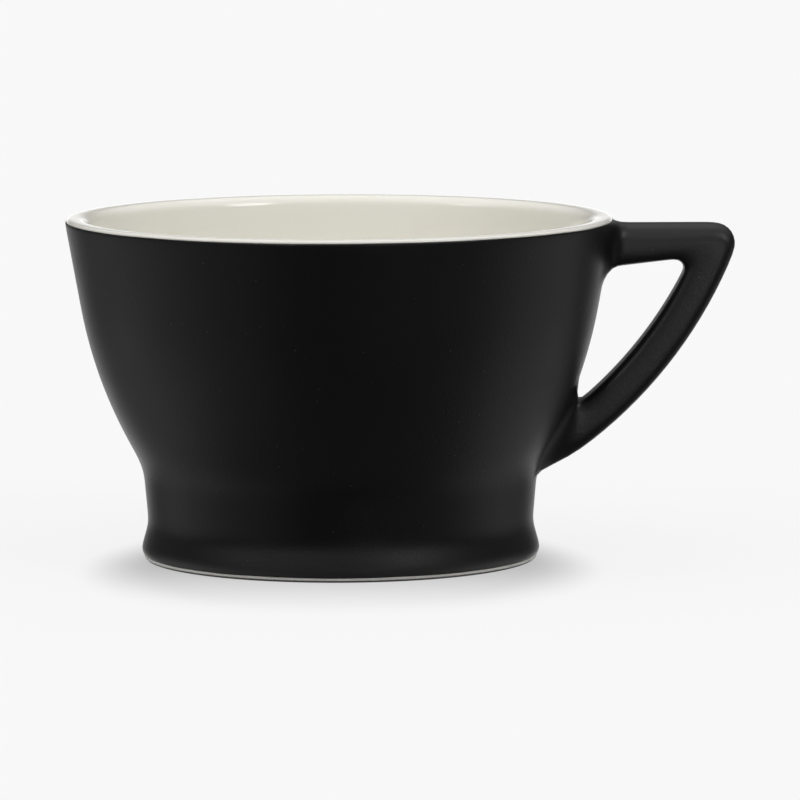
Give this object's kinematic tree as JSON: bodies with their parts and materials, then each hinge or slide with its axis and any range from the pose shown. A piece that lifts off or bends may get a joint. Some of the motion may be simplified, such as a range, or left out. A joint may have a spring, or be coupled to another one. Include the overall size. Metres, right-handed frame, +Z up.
{
  "type": "coffee cup",
  "caption": "Footed ceramic coffee cup with a wide bowl, matt black outside and glossy ivory inside, and an angular handle luted on at two roots.",
  "frame": {"origin": "under the middle of the outline, on the surface that the cup stands on; the bowl's own axis is at x = -0.00995", "axes": "+X towards the handle, +Z up, out of the bowl's mouth"},
  "size_m": [0.1096, 0.0896, 0.056],
  "materials": {
    "white_clay": "bare fired white clay, wiped smooth at the foot",
    "ivory_gloss_glaze": "glossy ivory glaze",
    "black_matt_glaze": "matt black glaze with a fine dry grain"
  },
  "bodies": {
    "root": {"clay_bowl": "white_clay", "clay_handle": "white_clay", "upper_slip_joint": "white_clay", "lower_slip_joint": "white_clay", "inside_glaze": "ivory_gloss_glaze", "outside_glaze": "black_matt_glaze", "base_glaze": "black_matt_glaze"}
  },
  "joints": []
}
